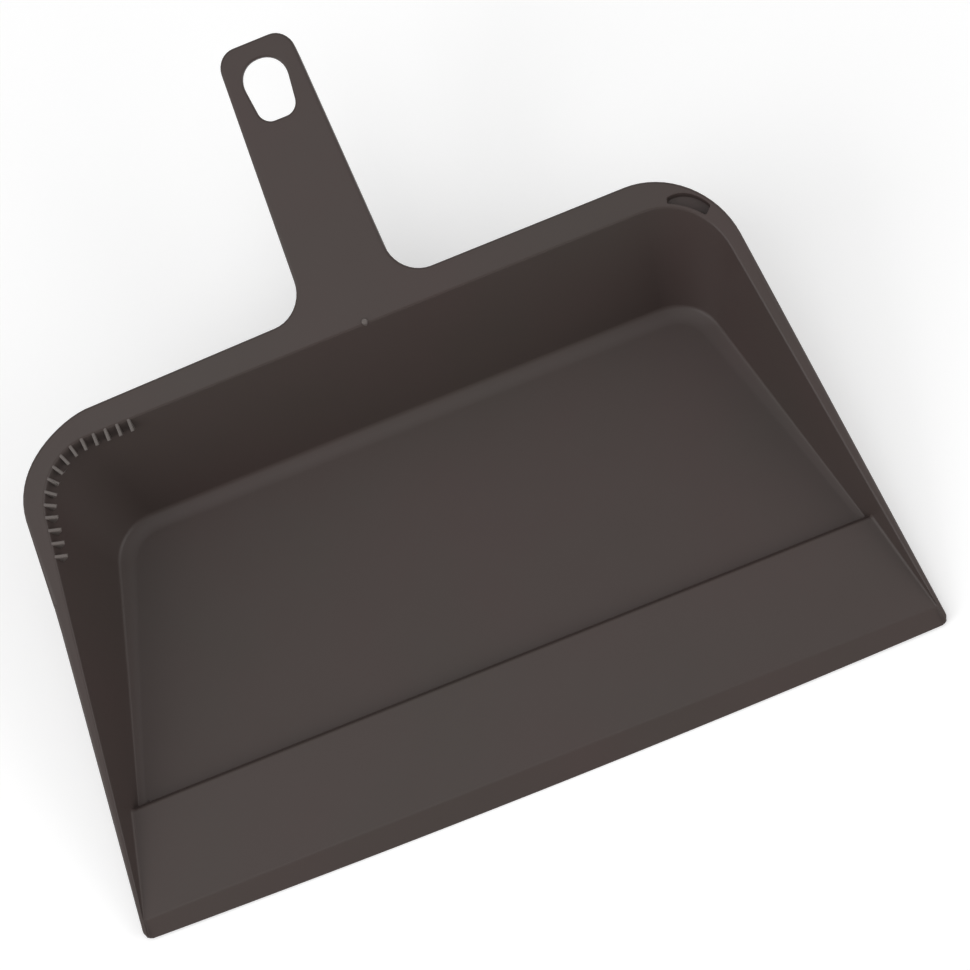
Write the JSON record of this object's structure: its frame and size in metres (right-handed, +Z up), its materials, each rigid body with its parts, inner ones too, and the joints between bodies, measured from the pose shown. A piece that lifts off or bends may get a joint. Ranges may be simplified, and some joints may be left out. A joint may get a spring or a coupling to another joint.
{
  "type": "dustpan",
  "caption": "Hand dustpan moulded in dark plastic: wedge-shaped tub with a thin sweeping lip, flanged rim, bristle comb in a rear corner and a flat handle with a hanging hole.",
  "frame": {"origin": "on the ground, under the middle of the whole part's box", "axes": "+X to the right seen from behind the lip looking to the handle, +Y from the lip to the handle, +Z up from the ground"},
  "size_m": [0.3102, 0.2748, 0.0922],
  "materials": {
    "charcoal_plastic": "satin moulded polypropylene, warm charcoal"
  },
  "bodies": {
    "root": {"pan_floor": "charcoal_plastic", "front_ramp": "charcoal_plastic", "rear_wall": "charcoal_plastic", "left_wall": "charcoal_plastic", "right_wall": "charcoal_plastic", "left_corner_wall": "charcoal_plastic", "right_corner_wall": "charcoal_plastic", "rear_rim": "charcoal_plastic", "left_rim": "charcoal_plastic", "right_rim": "charcoal_plastic", "left_corner_rim": "charcoal_plastic", "right_corner_rim": "charcoal_plastic", "rim_skirt": "charcoal_plastic", "handle_plate": "charcoal_plastic", "handle_skirt": "charcoal_plastic", "handle_ribs": "charcoal_plastic", "root_gussets": "charcoal_plastic", "comb_teeth": "charcoal_plastic"}
  },
  "joints": []
}
